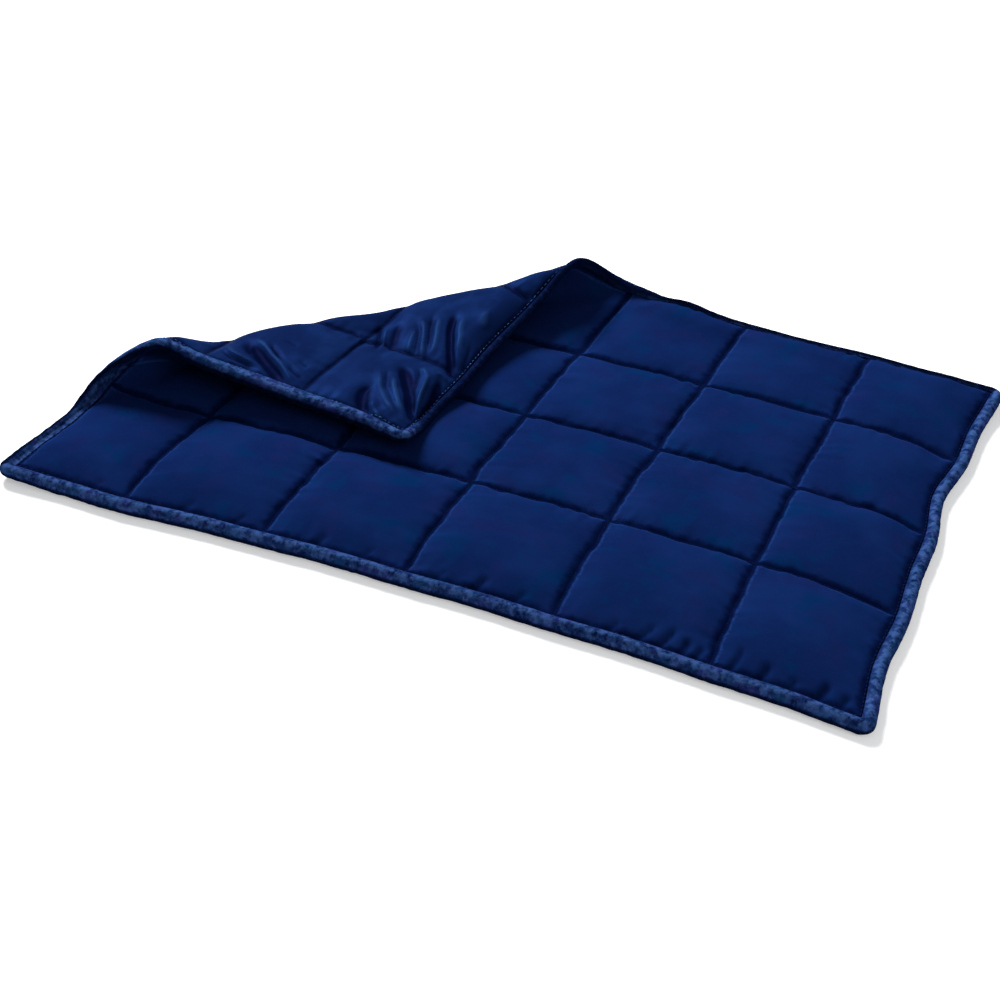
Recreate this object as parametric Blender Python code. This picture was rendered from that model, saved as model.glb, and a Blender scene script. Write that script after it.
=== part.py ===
"""Weighted blanket for the lap, lying on a surface with one corner folded over.

A quilted body of square filled cells, edged with four strips of plush binding
that are folded over its rim and meet in mitred corners. Metres, +Z up. The
origin is the middle of the underside of the whole thing.
"""
import math

import bmesh
import bpy
import numpy as np

# Cells and rim of the blanket when flat: X runs along the front, Y to the back.
PITCH = 0.127                 # side of an inner cell, 5 in
LEFT, RIGHT = 0.1176, 0.1278  # outer columns, binding included
FRONT, BACK = 0.1559, 0.1328  # outer rows, binding included
WIDTH = LEFT + 4 * PITCH + RIGHT
DEPTH = FRONT + 2 * PITCH + BACK
COLUMN_LINES = [LEFT + PITCH * i for i in range(5)]
ROW_LINES = [FRONT + PITCH * i for i in range(3)]

# Binding: a strip folded round the rim into a roll that is slit on its inner side.
ROLL_RADIUS = 0.0087
ROLL_CENTRE = 0.0085          # from the outer edge
ROLL_SIDES = 10               # flats round the outside of the roll
SEAM = 0.0173                 # row of stitches that holds the binding, from the edge
CORNER_RADIUS = 0.013
GAP = 0.00065                 # between the binding and the faces of the cloth inside it
RIM_ROOM = 0.0010             # left inside the slit past the end of the cloth
RIM_END = 0.0145              # where the cloth ends inside the binding
MITRE_GAP = 0.0003            # half of the gap between two strips

# Thickness: half at the stitches, and the crowns of the cells on each face.
STITCHED_HALF = 0.0022
TOP_CROWN = 0.0082
UNDER_CROWN = 0.0068          # where the underside shows, on the folded corner
NESTED_CROWN = 0.0022         # on the face that lies inside the fold
CROWN_POWER = 0.55
CROWN_UNEVEN = 0.10
CROWN_WAVE = (2.1, 3.3)       # turns of the unevenness from column to column and row to row
MIDDLE_RISE = 0.0045          # the stitched middle stands higher than the rim
RISE_LENGTH = 0.070
EDGE_HEIGHT = 0.0083          # middle of the cloth above the surface, at the rim
SETTLE = 1.25                 # a cell would sink this much further, so it lies flat

# How the cloth lies: rows bow to the back, columns lean and sides draw in.
SHIFT_X = {"across": -0.0074, "corner": -0.0113, "along": -0.0050}
SHIFT_Y = {"across": 0.0135, "corner": 0.0034, "along": -0.0048, "skew": 0.0044}
DRAW_IN = {"left": 0.0015, "right": 0.0045, "front": 0.0012, "back": 0.0020}

# The fold lifts off along a line from a point on the left edge to one on the back edge.
LIFT_LEFT = 0.0514            # from the front left corner
LIFT_BACK = 0.4301            # from the back left corner
APEX = 0.104                  # from the back edge to where the fold's rulings meet
# Cross-sections of the fold, from the left edge (along 0) to the back edge (along 1):
# a shallow lift, a tight bend and a drop back to level, lengths in metres.
FOLD_COLUMNS = ("along", "lift", "lift_deg", "bend", "drop", "drop_deg")
FOLD_SECTIONS = (
    (0.04, 0.055, 16.0, 0.056, 0.075, 9.0),
    (0.17, 0.074, 21.0, 0.086, 0.063, 1.5),
    (0.30, 0.123, 2.6, 0.055, 0.065, 0.0),
    (0.50, 0.125, 3.7, 0.0535, 0.090, 5.3),
    (0.76, 0.099, 9.7, 0.074, 0.089, 1.6),
    (0.95, 0.041, 38.1, 0.137, 0.079, 1.8),
)
BEND_START = 0.55             # part of the lift after which the bend begins
NESTED_LIFT = 0.0045          # holds the folded corner clear of the cells below it
FOLDED_DEG = 70.0             # tilt by which the underside has its full crown
NESTED_DEG = 110.0            # tilt by which the inner face is pressed to its low crown

# Facets: divisions of each column and row of cells, finer where the cloth folds.
COLUMN_STEPS = (12, 12, 11, 10, 5, 5)
ROW_STEPS = (6, 11, 12, 11)
FRONT_STEPS = (3, 3, 3, 3, 3, 3)
RIGHT_STEPS = (4, 3, 3, 3)
CROWDING = 0.045              # of a cell, by which facets crowd to its seams
CORNER_STEPS = 3
CORNER_ZONE = 0.0225
SHARP_DEG = 50.0

NAVY = (0.010, 0.030, 0.140, 1.0)
NAVY_PLUSH = (0.022, 0.040, 0.150, 1.0)
QUILT_ROUGHNESS, PLUSH_ROUGHNESS = 0.7, 0.85


def smooth(t):
    t = np.clip(t, 0.0, 1.0)
    return t * t * (3.0 - 2.0 * t)


def section_value(column, along):
    """Value of one column of the fold's table, on a smooth curve through its rows."""
    place = [row[0] for row in FOLD_SECTIONS]
    value = [row[FOLD_COLUMNS.index(column)] for row in FOLD_SECTIONS]
    along = min(max(along, place[0]), place[-1])
    i = max(j for j in range(len(place) - 1) if place[j] <= along)
    step = place[i + 1] - place[i]
    t = (along - place[i]) / step

    def slope(j):
        before, after = max(j - 1, 0), min(j + 1, len(place) - 1)
        return (value[after] - value[before]) / (place[after] - place[before]) * step

    return ((2 * t**3 - 3 * t**2 + 1) * value[i] + (t**3 - 2 * t**2 + t) * slope(i)
            + (3 * t**2 - 2 * t**3) * value[i + 1] + (t**3 - t**2) * slope(i + 1))


class Fold:
    """Carries points of the flat blanket to where they lie when the corner is folded."""

    ALONG = np.linspace(-0.1, 1.2, 40)
    REACH = np.linspace(0.0, 0.620, 311)

    def __init__(self):
        start = np.array([0.0, LIFT_LEFT])
        end = np.array([LIFT_BACK, DEPTH])
        length = np.hypot(*(end - start))
        way = (end - start) / length
        self.apex = end + way * APEX
        self.near, self.far = length + APEX, APEX
        self.turn = math.atan2(-way[1], -way[0])
        sections = [self.section(along) for along in self.ALONG]
        self.reach, self.height, self.tilt = (np.array(part) for part in zip(*sections))

    def section(self, along):
        """Run, height and tilt of the middle of the cloth, by length from the lift line."""
        lift, bend, drop = (section_value(name, along) for name in ("lift", "bend", "drop"))
        lift_turn = math.radians(section_value("lift_deg", along))
        drop_turn = math.radians(section_value("drop_deg", along))
        s = self.REACH
        bend_at = BEND_START * lift
        tilt = (lift_turn * smooth(s / lift)
                + (math.pi + drop_turn - lift_turn) * smooth((s - bend_at) / bend)
                - drop_turn * smooth((s - bend_at - bend) / drop))
        step = s[1] - s[0]
        middle = (tilt[1:] + tilt[:-1]) / 2
        run = np.concatenate([[0.0], np.cumsum(np.cos(middle) * step)])
        rise = np.concatenate([[0.0], np.cumsum(np.sin(middle) * step)])
        return run, EDGE_HEIGHT + rise + NESTED_LIFT * smooth(tilt / math.pi), tilt

    def place(self, x, y):
        """Distance from the apex, length past the lift line, and part of the way along."""
        dx, dy = x - self.apex[0], y - self.apex[1]
        radius = math.hypot(dx, dy)
        angle = (self.turn - math.atan2(dy, dx) + math.pi) % (2 * math.pi) - math.pi
        return radius, radius * angle, (self.near - radius) / (self.near - self.far)

    def read(self, table, along, past):
        i = (along - self.ALONG[0]) / (self.ALONG[1] - self.ALONG[0])
        i = min(max(i, 0.0), len(self.ALONG) - 1.001)
        j = min(past / (self.REACH[1] - self.REACH[0]), len(self.REACH) - 1.001)
        i0, j0 = int(i), int(j)
        a, b = i - i0, j - j0
        low = table[i0, j0] * (1 - b) + table[i0, j0 + 1] * b
        high = table[i0 + 1, j0] * (1 - b) + table[i0 + 1, j0 + 1] * b
        return low * (1 - a) + high * a

    def along_ruling(self, start, end):
        """How nearly a line on the laid cloth runs to the apex, and so stays straight."""
        line = np.subtract(end, start)
        ruling = self.apex - start
        return abs(line @ ruling) / (np.hypot(*line) * np.hypot(*ruling))

    def tilt_at(self, x, y):
        radius, past, along = self.place(x, y)
        return self.read(self.tilt, along, past) if past > 0 else 0.0

    def carry(self, x, y, off):
        """Point at a distance off from the middle of the cloth, on its top side if positive."""
        radius, past, along = self.place(x, y)
        if past <= 0:
            run, height, tilt = past, EDGE_HEIGHT, 0.0
        else:
            run = self.read(self.reach, along, past)
            height = self.read(self.height, along, past)
            tilt = self.read(self.tilt, along, past)
        run -= off * math.sin(tilt)
        height += off * math.cos(tilt)
        angle = self.turn - run / radius
        return (self.apex[0] + radius * math.cos(angle),
                self.apex[1] + radius * math.sin(angle), max(height, 0.0))


def cell_place(value, lines, size):
    """Part of the way across its cell, and the number of that cell."""
    bounds = [SEAM] + lines + [size - SEAM]
    value = min(max(value, bounds[0]), bounds[-1])
    i = max(j for j in range(len(bounds) - 1) if bounds[j] <= value)
    return (value - bounds[i]) / (bounds[i + 1] - bounds[i]), i


def crown(x, y):
    """Height of the filling over the stitches, from 0 on a seam to about 1."""
    u, column = cell_place(x, COLUMN_LINES, WIDTH)
    v, row = cell_place(y, ROW_LINES, DEPTH)
    arch = math.sin(math.pi * u) * math.sin(math.pi * v)
    uneven = 1 + CROWN_UNEVEN * math.sin(CROWN_WAVE[0] * column + CROWN_WAVE[1] * row)
    return max(arch, 0.0) ** CROWN_POWER * uneven


def rise(x, y):
    """Part of the height that the middle gains over the rim."""
    from_side = min(x, WIDTH - x) - SEAM
    from_end = min(y, DEPTH - y) - SEAM
    return float(smooth(from_side / RISE_LENGTH) * smooth(from_end / RISE_LENGTH))


def round_corner(x, y):
    """Turns the square corners of the rim into rounded ones."""
    side = x if x < WIDTH / 2 else WIDTH - x
    end = y if y < DEPTH / 2 else DEPTH - y
    u = (CORNER_RADIUS - side) / CORNER_RADIUS
    v = (CORNER_RADIUS - end) / CORNER_RADIUS
    if u <= 0 or v <= 0:
        return x, y
    shrink = max(u, v) / math.hypot(u, v)
    side = CORNER_RADIUS * (1 - u * shrink)
    end = CORNER_RADIUS * (1 - v * shrink)
    return (side if x < WIDTH / 2 else WIDTH - side), (end if y < DEPTH / 2 else DEPTH - end)


def lay(x, y):
    """Where a point of the flat blanket lies before the corner is folded."""
    x, y = round_corner(x, y)
    along_x = 2 * x / WIDTH - 1
    along_y = 2 * y / DEPTH - 1
    bow_x, bow_y = 1 - along_x**2, 1 - along_y**2
    new_x = (x + SHIFT_X["across"] * bow_x + SHIFT_X["corner"] * along_x * along_y
             + SHIFT_X["along"] * bow_y)
    new_y = (y + SHIFT_Y["across"] * bow_x + SHIFT_Y["corner"] * along_x * along_y
             + SHIFT_Y["along"] * bow_y + SHIFT_Y["skew"] * along_x * bow_x)
    over_row = math.sin(math.pi * cell_place(y, ROW_LINES, DEPTH)[0]) ** 2
    over_column = math.sin(math.pi * cell_place(x, COLUMN_LINES, WIDTH)[0]) ** 2
    new_x += DRAW_IN["left"] * over_row * float(smooth(1 - x / LEFT))
    new_x -= DRAW_IN["right"] * over_row * float(smooth(1 - (WIDTH - x) / RIGHT))
    new_y += DRAW_IN["front"] * over_column * float(smooth(1 - y / FRONT))
    new_y -= DRAW_IN["back"] * over_column * float(smooth(1 - (DEPTH - y) / BACK))
    return new_x, new_y


def body_offsets(fold, x, y, at_x, at_y):
    """Offsets of the top and underside from the middle of the cloth."""
    tilt = fold.tilt_at(at_x, at_y)
    folded = float(smooth(tilt / math.radians(FOLDED_DEG)))
    nested = float(smooth(tilt / math.radians(NESTED_DEG)))
    puff = crown(x, y)
    lifted = MIDDLE_RISE * rise(x, y) * (1 - folded)
    top = lifted + STITCHED_HALF + puff * (TOP_CROWN * (1 - nested) + NESTED_CROWN * nested)
    to_surface = (EDGE_HEIGHT + lifted) * SETTLE
    under = STITCHED_HALF + puff * (to_surface * (1 - folded) + UNDER_CROWN * folded)
    return top, lifted - under


def stations(lines, size, steps):
    """Lines of facets across the body: rim, seam, and even divisions of the cells."""
    bounds = [SEAM] + lines + [size - SEAM]
    places = [RIM_END]
    for low, high, count in zip(bounds, bounds[1:], steps):
        for i in range(count):
            part = i / count
            spread = part - math.sin(2 * math.pi * part) * CROWDING
            places.append(low + (high - low) * spread)
    return places + [size - SEAM, size - RIM_END]


def split_quads(bm, fold, laid):
    """Splits each quad on the diagonal along which the folded cloth is straight."""
    for face in list(bm.faces):
        if len(face.verts) != 4:
            continue
        a, b, c, d = face.verts
        if fold.along_ruling(laid[a], laid[c]) < fold.along_ruling(laid[b], laid[d]):
            a, c = b, d
        bmesh.utils.face_split(face, a, c)


def finish_mesh(bm, name, material, fold, laid):
    split_quads(bm, fold, laid)
    bm.normal_update()
    bmesh.ops.triangulate(bm, faces=bm.faces, ngon_method="EAR_CLIP")
    bmesh.ops.recalc_face_normals(bm, faces=bm.faces)
    mesh = bpy.data.meshes.new(name)
    bm.to_mesh(mesh)
    bm.free()
    mesh.shade_smooth()
    mesh.set_sharp_from_angle(angle=math.radians(SHARP_DEG))
    mesh.materials.append(material)
    return bpy.data.objects.new(name, mesh)


def make_body(fold, material):
    """Quilted body: a grid over all cells, thickened and crowned, then folded."""
    xs = stations(COLUMN_LINES, WIDTH, COLUMN_STEPS)
    ys = stations(ROW_LINES, DEPTH, ROW_STEPS)
    bm = bmesh.new()
    bmesh.ops.create_grid(bm, x_segments=len(xs) - 1, y_segments=len(ys) - 1, size=0.5)
    top = set(bm.verts)
    bmesh.ops.extrude_face_region(bm, geom=list(bm.faces), use_keep_orig=True)
    laid = {}
    for vert in bm.verts:
        x = xs[round((vert.co.x + 0.5) * (len(xs) - 1))]
        y = ys[round((vert.co.y + 0.5) * (len(ys) - 1))]
        laid[vert] = lay(x, y)
        offsets = body_offsets(fold, x, y, *laid[vert])
        vert.co = fold.carry(*laid[vert], offsets[0] if vert in top else offsets[1])
    return finish_mesh(bm, "quilted_body", material, fold, laid)


def roll_section():
    """Outline of the binding: round outside, with a slit for the cloth. Inward and up."""
    half = STITCHED_HALF + GAP
    lip = math.asin(half / ROLL_RADIUS)
    sweep = 2 * math.pi - 2 * lip
    outline = []
    for i in range(ROLL_SIDES + 1):
        angle = lip + sweep * i / ROLL_SIDES
        outline.append((ROLL_CENTRE + ROLL_RADIUS * math.cos(angle),
                        ROLL_RADIUS * math.sin(angle)))
    slit_end = RIM_END - RIM_ROOM
    return outline + [(slit_end, -half), (slit_end, half)]


def make_binding(fold, name, material, length, lines, steps, to_flat):
    """One strip of binding. to_flat turns along and inward into X and Y of the flat blanket."""
    places = [p for p in stations(lines, length, steps) if CORNER_ZONE < p < length - CORNER_ZONE]
    places = [CORNER_ZONE] + places + [length - CORNER_ZONE]
    count = len(places) + 2 * CORNER_STEPS
    section = roll_section()
    bm = bmesh.new()
    bmesh.ops.create_cone(bm, cap_ends=True, segments=len(section), radius1=1, radius2=1,
                          depth=count - 1)
    for i in range(1, count - 1):
        bmesh.ops.bisect_plane(bm, geom=bm.verts[:] + bm.edges[:] + bm.faces[:],
                               plane_co=(0, 0, i - (count - 1) / 2), plane_no=(0, 0, 1))
    laid = {}
    for vert in bm.verts:
        turn = math.atan2(vert.co.y, vert.co.x) / (2 * math.pi) * len(section)
        inward, off = section[round(turn) % len(section)]
        i = round(vert.co.z + (count - 1) / 2)
        mitre = inward + MITRE_GAP
        if i < CORNER_STEPS:
            along = mitre + (CORNER_ZONE - mitre) * i / CORNER_STEPS
        elif i >= count - CORNER_STEPS:
            along = length - mitre - (CORNER_ZONE - mitre) * (count - 1 - i) / CORNER_STEPS
        else:
            along = places[i - CORNER_STEPS]
        laid[vert] = lay(*to_flat(along, inward))
        vert.co = fold.carry(*laid[vert], off)
    return finish_mesh(bm, name, material, fold, laid)


def make_material(name, colour, roughness):
    material = bpy.data.materials.new(name)
    material.use_nodes = True
    shader = material.node_tree.nodes["Principled BSDF"]
    shader.inputs["Base Color"].default_value = colour
    shader.inputs["Roughness"].default_value = roughness
    shader.inputs["Metallic"].default_value = 0.0
    material.diffuse_color = colour
    return material


def centre_on_base(parts):
    """Moves the meshes so that the origin is the middle of the underside."""
    corners = np.array([vert.co for part in parts for vert in part.data.vertices])
    low, high = corners.min(axis=0), corners.max(axis=0)
    for part in parts:
        for vert in part.data.vertices:
            vert.co.x -= (low[0] + high[0]) / 2
            vert.co.y -= (low[1] + high[1]) / 2
            vert.co.z -= low[2]


def main():
    for old in list(bpy.data.objects):
        bpy.data.objects.remove(old, do_unlink=True)
    collection = bpy.data.collections.new("weighted_blanket")
    bpy.context.scene.collection.children.link(collection)

    fold = Fold()
    parts = [make_body(fold, make_material("quilted_body", NAVY, QUILT_ROUGHNESS))]
    strips = (
        ("binding_front", WIDTH, COLUMN_LINES, FRONT_STEPS, lambda a, i: (a, i)),
        ("binding_right", DEPTH, ROW_LINES, RIGHT_STEPS, lambda a, i: (WIDTH - i, a)),
        ("binding_back", WIDTH, COLUMN_LINES, COLUMN_STEPS, lambda a, i: (a, DEPTH - i)),
        ("binding_left", DEPTH, ROW_LINES, ROW_STEPS, lambda a, i: (i, a)),
    )
    for name, length, lines, steps, to_flat in strips:
        material = make_material(name, NAVY_PLUSH, PLUSH_ROUGHNESS)
        parts.append(make_binding(fold, name, material, length, lines, steps, to_flat))
    centre_on_base(parts)
    for part in parts:
        collection.objects.link(part)


main()
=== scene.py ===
import math

import bmesh
import bpy
import numpy as np
from mathutils import Matrix, Vector


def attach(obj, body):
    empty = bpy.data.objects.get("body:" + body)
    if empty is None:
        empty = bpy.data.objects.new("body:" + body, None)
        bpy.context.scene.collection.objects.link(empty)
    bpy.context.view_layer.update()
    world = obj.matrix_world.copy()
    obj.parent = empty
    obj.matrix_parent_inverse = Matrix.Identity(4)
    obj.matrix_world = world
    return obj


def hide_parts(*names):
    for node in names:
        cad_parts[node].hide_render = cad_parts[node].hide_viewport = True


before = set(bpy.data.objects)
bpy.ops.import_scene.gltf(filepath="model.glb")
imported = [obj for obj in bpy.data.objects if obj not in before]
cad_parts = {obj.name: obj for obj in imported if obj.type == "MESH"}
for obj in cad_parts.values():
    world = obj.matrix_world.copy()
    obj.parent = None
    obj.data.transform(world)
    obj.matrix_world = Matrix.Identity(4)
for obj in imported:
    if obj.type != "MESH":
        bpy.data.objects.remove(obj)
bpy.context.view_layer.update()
print("frame loaded, nodes:", len(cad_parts))

tau = math.tau


# the blanket when flat: x runs along the front edge, y to the back

blanket = {
    "pitch": 0.127,             # side of an inner cell
    "left": 0.1176,             # outer columns and rows, binding included
    "right": 0.1278,
    "front": 0.1559,
    "back": 0.1328,
    "cornerRadius": 0.013,
    "origin": (0.37616919, 0.27764799),  # of the frame, from the front left corner
    "shiftX": {"across": -0.0074, "corner": -0.0113, "along": -0.0050},
    "shiftY": {"across": 0.0135, "corner": 0.0034, "along": -0.0048, "skew": 0.0044},
    "drawIn": {"left": 0.0015, "right": 0.0022, "front": 0.0012, "back": 0.0020},
    # how far the sewn lines stray from straight, over which length
    "wavers": ((0.0018, 0.036), (0.0005, 0.013)),
    "straightRim": 0.04,        # they stray less this near the rim
    "blendRim": 0.06,           # over which the values of two sides blend at a corner
    # places on the rim that reach out or draw in: x, y, reach both ways, shift both ways
    "pulls": (
        (0.0, 0.0, 0.055, 0.080, -0.0055, 0.0),
        (0.115, 0.0, 0.085, 0.060, 0.0, -0.0048),
        (0.763, 0.345, 0.060, 0.052, -0.0066, 0.0),
        (0.763, 0.080, 0.060, 0.060, -0.0030, 0.0),
        (0.763, 0.543, 0.060, 0.060, 0.0040, 0.0050),
    ),
}
width = blanket["left"] + 4 * blanket["pitch"] + blanket["right"]
depth = blanket["front"] + 2 * blanket["pitch"] + blanket["back"]
sides = ("left", "right", "front", "back")

# the roll of binding round the rim
roll = {
    "radius": {"left": 0.0070, "right": 0.0058, "front": 0.0068, "back": 0.0046},
    "height": {"left": 0.0120, "right": 0.0059, "front": 0.0069, "back": 0.0128},  # of its middle
    "slimLeft": (0.0024, 0.27, 0.05),   # less up to the crest: how much, up to which y, over which
    "slimBack": (0.0004, 0.34, 0.05),   # less on the folded corner: how much, up to which x, over which
    "fatBack": (0.0026, 0.40, 0.045, 1.6),  # more beside the crest: how much, at which x, reach, evenness
    "seam": 1.99,               # from the rim to the sewn line, in radii
    "inside": 1.67,             # and to the edge of the quilt in the slit
}
seamAt = {side: radius * roll["seam"] for side, radius in roll["radius"].items()}
rimAt = {side: radius * roll["inside"] for side, radius in roll["radius"].items()}
columnLines = [blanket["left"] + blanket["pitch"] * i for i in range(5)]
rowLines = [blanket["front"] + blanket["pitch"] * i for i in range(3)]

fold = {
    "liftLeft": 0.0514,         # where the cloth starts to lift on the left edge
    "liftBack": 0.4301,         # and on the back edge
    "apexBeyond": 0.104,
    "bendStart": 0.55,
    "edgeHeight": 0.0083,
    "nestedLift": 0.0045,
    "rim": (0.008, 0.045),      # the rim keeps the height of its roll: this far in, and over which
    "curl": 0.0075,             # how far the back edge of the folded corner curls under
    "curlReach": 0.036,
    "curlStart": 0.05,          # along the back edge: over which it starts
    "curlEnd": (0.34, 0.06),    # and where it ends, and over which
    # soft lifts of the whole cloth, towards its top side where over 0: where, x, y, reach, height
    "sways": (
        ("left crest", 0.000, 0.240, 0.026, -0.0060),
        ("hollow behind it", 0.050, 0.268, 0.030, 0.0050),
        ("top of the fold", 0.150, 0.395, 0.030, 0.0050),
        ("back crest", 0.318, 0.535, 0.040, -0.0090),
        ("back edge beside it", 0.414, 0.543, 0.052, 0.0112),
    ),
    "tightDeg": (140.0, 28.0),  # the filling is pressed flat where the cloth bends: middle, reach
    "columns": ("along", "lift", "liftDeg", "bend", "drop", "dropDeg"),
    "sections": (
        (0.04, 0.055, 16.0, 0.056, 0.075, 9.0),
        (0.17, 0.074, 21.0, 0.086, 0.063, 1.5),
        (0.30, 0.123, 2.6, 0.055, 0.065, 0.0),
        (0.50, 0.125, 3.7, 0.0535, 0.090, 5.3),
        (0.76, 0.099, 9.7, 0.074, 0.089, 1.6),
        (0.95, 0.041, 38.1, 0.137, 0.079, 1.8),
    ),
}


def smooth(t):
    t = np.clip(t, 0.0, 1.0)
    return t * t * (3.0 - 2.0 * t)


# uneven height of about -1 to 1, with swells about one length apart
def swells(x, y, length, seed):
    rng = np.random.default_rng(seed)
    total = np.zeros(np.shape(x))
    size = 128
    for share, finer in ((0.85, 1.0), (0.45, 1.9)):
        knots = rng.uniform(-1.0, 1.0, (size, size))
        turn = rng.uniform(0.0, tau)
        u = (x * math.cos(turn) + y * math.sin(turn)) * finer / length + 500.0
        v = (y * math.cos(turn) - x * math.sin(turn)) * finer / length + 500.0
        i, j = np.floor(u).astype(int), np.floor(v).astype(int)
        a, b = smooth(u - i), smooth(v - j)
        low = knots[i % size, j % size] * (1 - b) + knots[i % size, (j + 1) % size] * b
        high = knots[(i + 1) % size, j % size] * (1 - b) + knots[(i + 1) % size, (j + 1) % size] * b
        total += share * (low * (1 - a) + high * a)
    return total


# uneven value of -1 to 1 along a line, changing about once a length
def wander(s, length, seed):
    size = 1023
    knots = np.random.default_rng(seed).uniform(-1.0, 1.0, size + 1)
    place = np.asarray(s) / length + 300.0  # far from 0, so that no place is under it
    i = np.floor(place).astype(int) % size
    t = smooth(place - np.floor(place))
    return knots[i] * (1.0 - t) + knots[i + 1] * t


def sectionValue(column, along):
    place = [row[0] for row in fold["sections"]]
    value = [row[fold["columns"].index(column)] for row in fold["sections"]]
    along = min(max(along, place[0]), place[-1])
    i = max(j for j in range(len(place) - 1) if place[j] <= along)
    step = place[i + 1] - place[i]
    t = (along - place[i]) / step

    def slope(j):
        before, after = max(j - 1, 0), min(j + 1, len(place) - 1)
        return (value[after] - value[before]) / (place[after] - place[before]) * step

    return ((2 * t**3 - 3 * t**2 + 1) * value[i] + (t**3 - 2 * t**2 + t) * slope(i)
            + (3 * t**2 - 2 * t**3) * value[i + 1] + (t**3 - t**2) * slope(i + 1))


# carries points of the flat blanket to where they lie with the corner folded over
class FoldedCloth:
    along = np.linspace(-0.1, 1.2, 66)
    reach = np.linspace(0.0, 0.620, 621)

    def __init__(self):
        start = np.array([0.0, fold["liftLeft"]])
        end = np.array([fold["liftBack"], depth])
        length = np.hypot(*(end - start))
        way = (end - start) / length
        self.apex = end + way * fold["apexBeyond"]
        self.near, self.far = length + fold["apexBeyond"], fold["apexBeyond"]
        self.turn = math.atan2(-way[1], -way[0])
        sections = [self.section(a) for a in self.along]
        self.run, self.height, self.tilt = (np.array(part) for part in zip(*sections))

    def section(self, along):
        lift, bend, drop = (sectionValue(name, along) for name in ("lift", "bend", "drop"))
        liftTurn = math.radians(sectionValue("liftDeg", along))
        dropTurn = math.radians(sectionValue("dropDeg", along))
        s = self.reach
        bendAt = fold["bendStart"] * lift
        tilt = (liftTurn * smooth(s / lift)
                + (math.pi + dropTurn - liftTurn) * smooth((s - bendAt) / bend)
                - dropTurn * smooth((s - bendAt - bend) / drop))
        step = s[1] - s[0]
        middle = (tilt[1:] + tilt[:-1]) / 2
        run = np.concatenate([[0.0], np.cumsum(np.cos(middle) * step)])
        rise = np.concatenate([[0.0], np.cumsum(np.sin(middle) * step)])
        height = fold["edgeHeight"] + rise + fold["nestedLift"] * smooth(tilt / math.pi)
        return run, height, tilt

    def place(self, x, y):
        dx, dy = x - self.apex[0], y - self.apex[1]
        radius = np.hypot(dx, dy)
        angle = (self.turn - np.arctan2(dy, dx) + math.pi) % tau - math.pi
        return radius, radius * angle, (self.near - radius) / (self.near - self.far)

    def read(self, table, along, past):
        i = (along - self.along[0]) / (self.along[1] - self.along[0])
        i = np.clip(i, 0.0, len(self.along) - 1.001)
        j = np.clip(past / (self.reach[1] - self.reach[0]), 0.0, len(self.reach) - 1.001)
        i0, j0 = i.astype(int), j.astype(int)
        a, b = i - i0, j - j0
        low = table[i0, j0] * (1 - b) + table[i0, j0 + 1] * b
        high = table[i0 + 1, j0] * (1 - b) + table[i0 + 1, j0 + 1] * b
        return low * (1 - a) + high * a

    def tiltAt(self, x, y):
        radius, past, along = self.place(x, y)
        return np.where(past > 0, self.read(self.tilt, along, past), 0.0)

    # off is the distance above the middle of the cloth, on its top side
    def carry(self, x, y, off):
        radius, past, along = self.place(x, y)
        folded = past > 0
        tilt = np.where(folded, self.read(self.tilt, along, past), 0.0)
        run = np.where(folded, self.read(self.run, along, past), past)
        height = np.where(folded, self.read(self.height, along, past), fold["edgeHeight"])
        run = run - off * np.sin(tilt)
        height = np.maximum(height + off * np.cos(tilt), 0.0)
        angle = self.turn - run / radius
        return np.stack([self.apex[0] + radius * np.cos(angle) - blanket["origin"][0],
                         self.apex[1] + radius * np.sin(angle) - blanket["origin"][1],
                         height], axis=-1)


cloth = FoldedCloth()


def cellPlace(value, lines, size):
    low, high = ("left", "right") if size == width else ("front", "back")
    bounds = np.array([seamAt[low]] + lines + [size - seamAt[high]])
    value = np.clip(value, bounds[0], bounds[-1])
    index = np.clip(np.searchsorted(bounds, value, side="right") - 1, 0, len(bounds) - 2)
    return value - bounds[index], bounds[index + 1] - value, index


# of both ways across the cell: distance to the line below, to the line above, number of the cell
def cellSides(x, y):
    return *cellPlace(x, columnLines, width), *cellPlace(y, rowLines, depth)


def roundCorner(x, y):
    radius = blanket["cornerRadius"]
    side, end = np.minimum(x, width - x), np.minimum(y, depth - y)
    u, v = (radius - side) / radius, (radius - end) / radius
    inside = (u > 0) & (v > 0)
    shrink = np.where(inside, np.maximum(u, v) / np.maximum(np.hypot(u, v), 1e-9), 1.0)
    side = np.where(inside, radius * (1 - u * shrink), side)
    end = np.where(inside, radius * (1 - v * shrink), end)
    return np.where(x < width / 2, side, width - side), np.where(y < depth / 2, end, depth - end)


def fromSides(x, y):
    return {"left": x, "right": width - x, "front": y, "back": depth - y}


# value of the nearest side, evened out round the corners
def evened(x, y, values):
    total, weights = 0.0, 0.0
    for side, distance in fromSides(x, y).items():
        weight = smooth(1 - distance / blanket["blendRim"]) + 1e-6
        total, weights = total + weight * values[side], weights + weight
    return total / weights


# radius of the roll of binding
def radiusAt(x, y):
    values = dict(roll["radius"])
    less, end, over = roll["slimLeft"]
    values["left"] = values["left"] - less * smooth((end - y) / over)
    less, end, over = roll["slimBack"]
    more, middle, reach, evenness = roll["fatBack"]
    values["back"] = (values["back"] - less * smooth((end - x) / over)
                      + more * smooth(evenness - np.abs(x - middle) / reach))
    return evened(x, y, values)


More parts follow.
